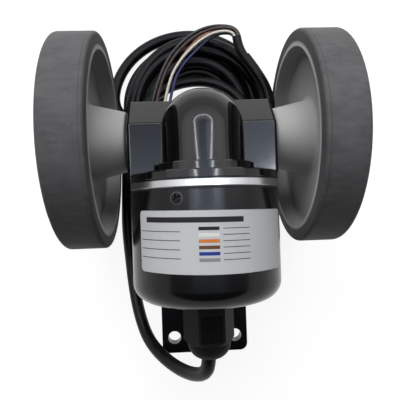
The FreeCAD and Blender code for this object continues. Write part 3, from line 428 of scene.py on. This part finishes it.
# The last turn doubles back over the coil and comes up on its right.
TAIL = [
    (-14, -19, 12.5), (-21.5, -9, 13.5), (-17, 3, 13.5), (-5, 6, 12), (7, -1, 12.5), (18, -7, 16),
    (27, -3, 18), (31.6, 6, 18.4), (32.5, 16, 18), (31.7, 23.5, 18.2), (28, 31.2, 18.8), (21.9, 39.5, 18.8),
]
SLEEVE = [(21.9, 39.5, 18.8), (19.5, 42.7, 18.8), (18.6, 48.3, 19.4)]
WIRES = {
    "wire_black": [(19.9, 48.5, 19.4), (19, 51.9, 19.9), (11.5, 53.5, 19.4), (3.9, 52.2, 19.4),
                   (-3.5, 48.3, 19.2), (-10.8, 41, 18.4), (-16.1, 31, 17.8), (-19.2, 20.5, 17.4)],
    "wire_brown": [(19, 48.2, 20.6), (18.4, 51.2, 20.8), (11.6, 52.3, 20), (4.5, 51, 19.4),
                   (-2.6, 47, 18.7), (-9.8, 40, 17.6), (-15, 30.3, 17), (-18.3, 17.9, 16.8)],
    "wire_orange": [(19, 48.5, 18.2), (18.3, 51.3, 18.4), (11.6, 51.8, 18.6), (5.1, 49.9, 19.2),
                    (-0.9, 45.4, 18.8), (-7, 38.4, 17.2), (-12, 29.4, 16.4), (-15.2, 15.5, 16.1)],
    "wire_white": [(17.6, 48, 20.2), (17.1, 50, 20.2), (11.7, 50.7, 19.8), (5.6, 48.8, 19.7),
                   (-0.4, 44.5, 19.4), (-7, 37.9, 18.6), (-12, 29, 17.8), (-15.2, 13.2, 17.4)],
    "wire_blue": [(17.5, 48.2, 18.6), (17.1, 50, 18.7), (11.7, 50.4, 18.4), (6.2, 47.9, 18.2),
                  (1, 43.1, 18.1), (-5.4, 36.9, 17.8), (-10.2, 28.5, 17.4), (-13.4, 10.9, 17.2)],
}
CABLE_ACROSS, SLEEVE_ACROSS, WIRE_ACROSS = 5, 4, 1.3


def place_of(point):
    """A route point in the part's frame, in metres."""
    x, y, z = point
    return (x * MM, y * MM + AXLE.y, z * MM)


def strand(name, points, across, slot, roundness=6):
    """A round cord along one smooth spline that follows its route points."""
    curve = bpy.data.curves.new(name, "CURVE")
    curve.dimensions = "3D"
    curve.bevel_depth = across * MM / 2
    curve.bevel_resolution = roundness
    curve.use_fill_caps = True
    spline = curve.splines.new("NURBS")
    spline.points.add(len(points) - 1)
    for target, point in zip(spline.points, points):
        target.co = (*place_of(point), 1)
    spline.order_u = 3
    spline.use_endpoint_u = True
    spline.resolution_u = 6
    return dressed(linked(name, curve), slot)


def coil():
    """Quarter turns between the far points, in even steps, kept clear of the wheels' treads."""
    points = []
    for number, (start, end) in enumerate(zip(TURNS, TURNS[1:])):
        for step in range(QUARTER_STEPS):
            share = step / QUARTER_STEPS
            near, far = math.cos(share * math.pi / 2), math.sin(share * math.pi / 2)
            if number % 2 == 0:
                x = end[0] + (start[0] - end[0]) * near
                y = start[1] + (end[1] - start[1]) * far
            else:
                x = start[0] + (end[0] - start[0]) * far
                y = end[1] + (start[1] - end[1]) * near
            rise = share * share * (3 - 2 * share)
            widest = COIL_HALF_WIDTH + max(0, y - WIDENS_FROM) * WIDENS_BY
            points.append((max(-widest, min(widest, x)), y, start[2] + (end[2] - start[2]) * rise))
    return points


def cable():
    sleeve = strand("sleeve", SLEEVE, SLEEVE_ACROSS, "cable_jacket")
    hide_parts("cable_sleeve")
    jacket = strand("cable", LEAD + coil() + TAIL, CABLE_ACROSS, "cable_jacket")
    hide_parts("cable_lead", "cable_coil", "cable_tail")
    place_of(LEAD[1])


def wires():
    for name, points in WIRES.items():
        piece = strand(f"{name}_strand", points, WIRE_ACROSS, name, roundness=4)
        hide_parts(name)
        place_of(points[0])


# The label's place on the cap: distances along the curve and down from its upper edge, in millimetres.
LABEL_LEFT, LABEL_RIGHT, LABEL_DEPTH = -24.4, 28.8, 18.4
LABEL_CORNER, LABEL_THICK = 1.3, 0.12

# Its upper edge at the left end, in metres, and how far that drops per millimetre to the right.
LABEL_TOP = AXLE.y - 26 * MM
LABEL_LEAN = 0.017

# A dark bar and colour chips on the label, in the same millimetres.
BAR_LEFT, BAR_RIGHT, BAR_TOP, BAR_BOTTOM = -21, 10, 1.9, 3.5
CHIP_LEFT, CHIP_RIGHT, CHIP_HALF = -3.5, 2.5, 0.5
CHIP_FIRST, CHIP_PITCH = 5.2, 1.8
CHIP_COLOURS = [
    (0.02, 0.02, 0.02), (0.85, 0.85, 0.82), (0.75, 0.24, 0.05),
    (0.16, 0.07, 0.035), (0.02, 0.05, 0.32), (0.3, 0.3, 0.31),
]

# Ruled rows: left and right ends, first row, pitch and number of rows.
LABEL_ROWS = [(-23.5, -9, 6.1, 2.6, 4), (3.5, 12, CHIP_FIRST, CHIP_PITCH, len(CHIP_COLOURS))]
ROW_HALF = 0.11


def label_foil():
    """Matt silver foil with a dark bar, ruled rows and colour chips."""
    dull, bright, ink_black = (0.6, 0.615, 0.635), (0.69, 0.7, 0.71), (0.025, 0.025, 0.028)
    finish = Finish("label_foil", Specular_IOR_Level=0.1)
    x, y, z = finish.axes()
    across = cap_angle(x, z) * (CAP_RADIUS / MM)
    down = (LABEL_TOP - y) * (1 / MM) - (across - LABEL_LEFT) * LABEL_LEAN
    brushed = finish.noise(0.5 * MM, detail=3, stretch=(1, 0.03, 1))
    cloud = finish.noise(9 * MM)
    foil = finish.mix(brushed * 0.5 + cloud * 0.5, dull, bright)
    ink = band(across, BAR_LEFT, BAR_RIGHT) * band(down, BAR_TOP, BAR_BOTTOM)
    for left, right, first, pitch, count in LABEL_ROWS:
        for row in range(count):
            middle = first + row * pitch
            ink = ink + band(across, left, right) * band(down, middle - ROW_HALF, middle + ROW_HALF)
    colour = finish.mix(ink, foil, ink_black)
    for row, shade in enumerate(CHIP_COLOURS):
        middle = CHIP_FIRST + row * CHIP_PITCH
        chip = band(across, CHIP_LEFT, CHIP_RIGHT) * band(down, middle - CHIP_HALF, middle + CHIP_HALF)
        colour = finish.mix(chip, colour, shade)
    finish.set(Base_Color=colour, Roughness=0.42 + brushed * 0.12)
    finish.bump(brushed + ink * 0.3, depth=0.006 * MM, strength=0.3)
    return finish


def label():
    """A thin foil plate bent round the cap, with round corners; its underside stays clear of the cap."""
    corner_turns, middle_steps = range(0, 91, 15), 48
    plate_share = 0.8
    sharp_edge = math.radians(40)
    corner = [LABEL_CORNER * (1 - math.cos(math.radians(turn))) for turn in corner_turns]
    width = LABEL_RIGHT - LABEL_LEFT - 2 * LABEL_CORNER
    columns = [LABEL_LEFT + step for step in corner]
    columns += [LABEL_LEFT + LABEL_CORNER + width * step / middle_steps for step in range(1, middle_steps)]
    columns += [LABEL_RIGHT - step for step in reversed(corner)]
    form = bmesh.new()
    edges = []
    for across in columns:
        inset = max(LABEL_CORNER - min(across - LABEL_LEFT, LABEL_RIGHT - across), 0)
        rounding = LABEL_CORNER - math.sqrt(LABEL_CORNER ** 2 - inset ** 2)
        angle = across * MM / CAP_RADIUS
        radius = CAP_RADIUS + LABEL_THICK * MM
        x, z = radius * math.sin(angle), SHAFT_Z + radius * math.cos(angle)
        upper = LABEL_TOP - LABEL_LEAN * (across - LABEL_LEFT) * MM
        ends = (upper - rounding * MM, upper - (LABEL_DEPTH - rounding) * MM)
        edges.append([form.verts.new((x, y, z)) for y in ends])
    for before, after in zip(edges, edges[1:]):
        form.faces.new((before[0], before[1], after[1], after[0]))
    bmesh.ops.recalc_face_normals(form, faces=form.faces)
    bmesh.ops.solidify(form, geom=form.faces[:], thickness=LABEL_THICK * plate_share * MM)
    mesh = meshed("label_plate", form)
    mesh.set_sharp_from_angle(angle=sharp_edge)
    dressed(linked("label_plate", mesh), "bare_aluminium", label_foil())


# A screw's cross recess, as shares of the head's radius: an arm's reach and half width, and a wall's slope.
ARM_REACH, ARM_HALF_WIDTH, WALL_SLOPE = 0.68, 0.17, 0.05
ARM_RUN_OUT = 2.2

# Its depth is a share of the head's height, or of this share of the head's radius where that is less.
RECESS_DEPTH, RECESS_LIMIT = 0.9, 0.45
HEAD_RINGS, HEAD_SIDES = 22, 72


def from_0_to_1(share):
    return min(1, max(0, share))


def cross_recess(x, y, radius):
    """Depth of a cross recess as a share of its full depth; the arms get shallower outwards."""
    depth = 0
    for along, aside in ((x, y), (y, x)):
        run_out = ARM_RUN_OUT * (1 - abs(along) / (ARM_REACH * radius))
        wall = (ARM_HALF_WIDTH * radius - abs(aside)) / (WALL_SLOPE * radius)
        depth = max(depth, from_0_to_1(wall) * from_0_to_1(run_out))
    return depth


def add_head(form, place, axis, radius, height, crown, turn):
    """A screw head along its axis: round edge, low crown and cross recess; lengths are in millimetres."""
    to_part = Matrix.Translation(place) @ axis.to_track_quat("Z", "Y").to_matrix().to_4x4()
    to_part = to_part @ Matrix.Rotation(turn, 4, "Z")
    recess = RECESS_DEPTH * min(height, radius * RECESS_LIMIT)

    def corner(x, y, z):
        return form.verts.new(to_part @ (Vector((x, y, z)) * MM))

    loops = []
    for ring in range(1, HEAD_RINGS + 1):
        reach = radius * ring / HEAD_RINGS
        fall = crown * (reach / radius) ** 2
        points = circle(reach, HEAD_SIDES)
        loops.append([corner(x, y, -fall - recess * cross_recess(x, y, radius)) for x, y in points])
    loops.append([corner(x, y, -height) for x, y in circle(radius, HEAD_SIDES)])
    middle = corner(0, 0, -recess)
    for side, after in neighbours(loops[0]):
        form.faces.new((middle, side, after))
    join_loops(form, loops)


# The cap's screws: first angle and step round the cap, a head's radius in millimetres, its depth in metres.
CAP_SCREW_COUNT = 3
CAP_SCREW_ANGLE, CAP_SCREW_STEP = math.radians(-22.5), 2 * math.pi / CAP_SCREW_COUNT
CAP_SCREW_RADIUS = 2.1
CAP_SCREW_SUNK = 0.1 * MM

# Places of the screws under the foot, in millimetres to either side of the axle's middle.
FOOT_SCREW_X, FOOT_SCREW_Y = 12, 10.7


def cap_screw_steel(middle):
    """Blackened steel, with a painted highlight round the edge of each of the cap's screw heads."""
    black, bright = (0.01, 0.01, 0.011), (0.1, 0.1, 0.103)
    rim_start, rim_end = CAP_SCREW_RADIUS * 0.8 * MM, CAP_SCREW_RADIUS * 0.95 * MM
    finish = Finish("cap_screw_steel", Metallic=0.3, Specular_IOR_Level=0.3)
    x, y, z = finish.axes()
    angle = cap_angle(x, z)
    turned = angle.maths("FLOORED_MODULO", angle - CAP_SCREW_ANGLE + CAP_SCREW_STEP / 2, CAP_SCREW_STEP)
    across = (turned - CAP_SCREW_STEP / 2) * CAP_RADIUS
    grain = finish.noise(0.3 * MM, detail=3)
    rim = band(radius_of(across, y - middle), rim_start, rim_end)
    # Painted highlight: a mottled bright ring near the edge of each head.
    screw_edge_highlight = finish.ramp(grain, (0.25, 0.4), (0.6, 1)) * rim
    finish.set(Base_Color=finish.mix(screw_edge_highlight, black, bright), Roughness=0.34 + grain * 0.15)
    finish.bump(grain, depth=0.01 * MM, strength=0.25)
    return finish


def cap_screws():
    low, high = (Vector(corner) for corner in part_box("cap_screws"))
    middle = (low.y + high.y) / 2
    form = bmesh.new()
    for number in range(CAP_SCREW_COUNT):
        angle = CAP_SCREW_ANGLE + CAP_SCREW_STEP * number
        out = Vector((math.sin(angle), 0, math.cos(angle)))
        place = Vector((0, middle, SHAFT_Z)) + out * (CAP_RADIUS - CAP_SCREW_SUNK)
        add_head(form, place, out, CAP_SCREW_RADIUS, height=1, crown=0.12, turn=0.5 + number)
    heads = linked("cap_screw_heads", meshed("cap_screw_heads", form))
    dressed(heads, "spring_steel", cap_screw_steel(middle))
    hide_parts("cap_screws")


def wheel_screws():
    low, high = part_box("wheel_screws")
    form = bmesh.new()
    for side, x in ((-1, low[0]), (1, high[0])):
        place = Vector((x, AXLE.y, AXLE.z))
        add_head(form, place, Vector((side, 0, 0)), radius=3.6, height=2.6, crown=0.7, turn=0.4 * side)
    heads = linked("wheel_screw_heads", meshed("wheel_screw_heads", form))
    dressed(heads, "plain_steel", body="wheel_set")
    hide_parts("wheel_screws")


def foot_screws():
    low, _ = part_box("foot_screws")
    sides = [(x, y) for x in (-FOOT_SCREW_X, FOOT_SCREW_X) for y in (-FOOT_SCREW_Y, FOOT_SCREW_Y)]
    form = bmesh.new()
    for number, (x, y) in enumerate(sides):
        place = Vector((x * MM, AXLE.y + y * MM, low[2]))
        add_head(form, place, Vector((0, 0, -1)), radius=3, height=1.5, crown=0.02, turn=0.3 * number)
    heads = linked("foot_screw_heads", meshed("foot_screw_heads", form))
    dressed(heads, "plain_steel")
    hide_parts("foot_screws")


# The camera's place in metres, its turns about the axes, and its lens and sensor in millimetres.
CAMERA_PLACE = (-0.008455, -0.002147, 0.20099)
CAMERA_TURNS = (0.01337, -0.04756, -0.03318)
FOCAL_LENGTH, SENSOR_WIDTH = 37.8, 36
NEAREST_SEEN = 10 * MM

# Reflection cards overhead from front to back: radiance and width, then their places, in metres.
CARDS = [
    (0.5, 0.84), (1.7, 0.84), (3.6, 0.84), (4.6, 0.84), (2.3, 0.84), (1.7, 0.6), (1.3, 0.74),
    (1, 0.82), (0.85, 0.84), (0.85, 0.82), (0.85, 0.76), (0.85, 0.66), (0.85, 0.5),
]
FIRST_CARD_Y, CARD_DEPTH, CARD_HEIGHT = -0.17, 0.06, 1
CARD_TINT = (0.7, 0.8, 1)

# Corners of the left half of a thin tube lamp that is bent round the cards, in metres.
TUBE_LEFT = [
    (-0.2, 0.04), (-0.29, 0.115), (-0.36, 0.175), (-0.41, 0.24),
    (-0.42, 0.34), (-0.38, 0.44), (-0.28, 0.55), (-0.12, 0.62),
]
TUBE_WIDTH, TUBE_RADIANCE = 0.03, 22
PART_MIDDLE = Vector((0, 0, 0.05))


def camera():
    scene = bpy.context.scene
    scene.view_settings.view_transform = "Standard"
    lens = bpy.data.cameras.new("camera")
    lens.sensor_width = SENSOR_WIDTH
    lens.lens = FOCAL_LENGTH
    lens.clip_start = NEAREST_SEEN
    holder = linked("camera", lens)
    holder.location = CAMERA_PLACE
    holder.rotation_mode = "ZYX"
    holder.rotation_euler = CAMERA_TURNS
    scene.camera = holder


def room():
    """A dim room; its back is brighter, and only glossy surfaces show that."""
    dim, back_middle, back_sides = (0.04, 0.041, 0.044), (1.6, 1.6, 1.67), (2.5, 2.5, 2.57)
    world = bpy.data.worlds.new("studio")
    bpy.context.scene.world = world
    shell = Surroundings(world)
    aside, back, up = shell.axes()
    behind = shell.ramp(back * 0.5 + 0.5, (0.4, 0), (0.56, 1))
    below_lamps = shell.ramp(up, (0.5, 0.65), (0.75, 1), (0.9, 1), (0.96, 0))
    mirrored = shell.node("ShaderNodeLightPath", output="Is Glossy Ray")
    walls = shell.mix(aside ** 2, back_middle, back_sides)
    shell.set(Color=shell.mix(behind * below_lamps * mirrored, dim, walls))


def lamp(name, place, size, radiance, tint=(1, 1, 1), lights=True, mirrored=True):
    """A flat soft lamp that shines down; radiance 1 looks white in a mirror."""
    light = bpy.data.lights.new(name, "AREA")
    light.shape = "RECTANGLE"
    light.size, light.size_y = size
    light.energy = math.pi * size[0] * size[1] * radiance
    light.color = tint
    holder = linked(name, light)
    holder.location = place
    holder.visible_diffuse = lights
    holder.visible_glossy = mirrored
    return holder


def panel(name, place, size, radiance, **kind):
    """A lamp that faces the part."""
    holder = lamp(name, place, size, radiance, **kind)
    holder.rotation_euler = (PART_MIDDLE - Vector(place)).to_track_quat("-Z", "Y").to_euler()


def tube(start, end):
    """One straight stretch of the tube lamp, seen in glossy surfaces alone."""
    along = end - start
    holder = lamp("tube", (start + end) / 2, (along.length, TUBE_WIDTH), TUBE_RADIANCE, lights=False)
    holder.rotation_euler = (0, 0, math.atan2(along.y, along.x))


def lamps():
    panel("key_panel", (0, 1.0, 0.9), (1.2, 0.8), radiance=5.2, mirrored=False)
    panel("roof_panel", (0, 0.55, 1.25), (0.9, 0.6), radiance=1.2, mirrored=False)
    panel("side_panel", (-0.8, 0.8, 0.8), (1, 1), radiance=1.6, mirrored=False)
    for step, (radiance, width) in enumerate(CARDS):
        place = (0, FIRST_CARD_Y + CARD_DEPTH * step, CARD_HEIGHT)
        panel(f"card_{step}", place, (width, CARD_DEPTH), radiance, tint=CARD_TINT, lights=False)
    panel("right_card", (0.2, 0.14, 0.98), (0.2, 0.16), radiance=1.25, tint=CARD_TINT, lights=False)
    corners = TUBE_LEFT + [(-x, y) for x, y in reversed(TUBE_LEFT)]
    line = [Vector((x, y, CARD_HEIGHT)) for x, y in corners]
    for start, end in zip(line, line[1:]):
        tube(start, end)


# The floor's profile, in metres: its middle, where it turns up, the radius of the turn and the rim's height.
FLOOR_MIDDLE, FLOOR_FLAT, FLOOR_CURVE, FLOOR_RIM = 0.8, 2.4, 0.6, 1.8
FLOOR_SIDES = 48


def floor_white():
    """Pale matt surface; its own light is added for what the camera and mirrors see, and shadows stay."""
    finish = Finish("floor_white", Base_Color=(0.2, 0.2, 0.2), Roughness=0.9, Specular_IOR_Level=0.1)
    rays = ("Is Camera Ray", "Is Glossy Ray", "Is Transmission Ray")
    seen = sum(finish.node("ShaderNodeLightPath", output=ray) for ray in rays)
    finish.set(Emission_Color=finish.mix(seen, (0, 0, 0), (1, 1, 1)), Emission_Strength=0.9)
    return finish


def floor():
    """Round floor with an upturned rim."""
    profile = [(FLOOR_MIDDLE, 0), (FLOOR_FLAT, 0)]
    for turn in (0.3, 0.6, 0.9, 1.2, math.pi / 2):
        reach = FLOOR_FLAT + FLOOR_CURVE * math.sin(turn)
        profile.append((reach, FLOOR_CURVE - FLOOR_CURVE * math.cos(turn)))
    profile.append((FLOOR_FLAT + FLOOR_CURVE, FLOOR_RIM))
    form = bmesh.new()
    loops = []
    for reach, height in profile:
        loops.append([form.verts.new((x, y, height)) for x, y in circle(reach, FLOOR_SIDES)])
    form.faces.new(loops[0])
    join_loops(form, loops)
    mesh = meshed("floor", form)
    mesh.materials.append(floor_white().material)
    linked("floor", mesh)


finish_nodes()
cable()
wires()
label()
cap_screws()
wheel_screws()
foot_screws()
camera()
room()
lamps()
floor()
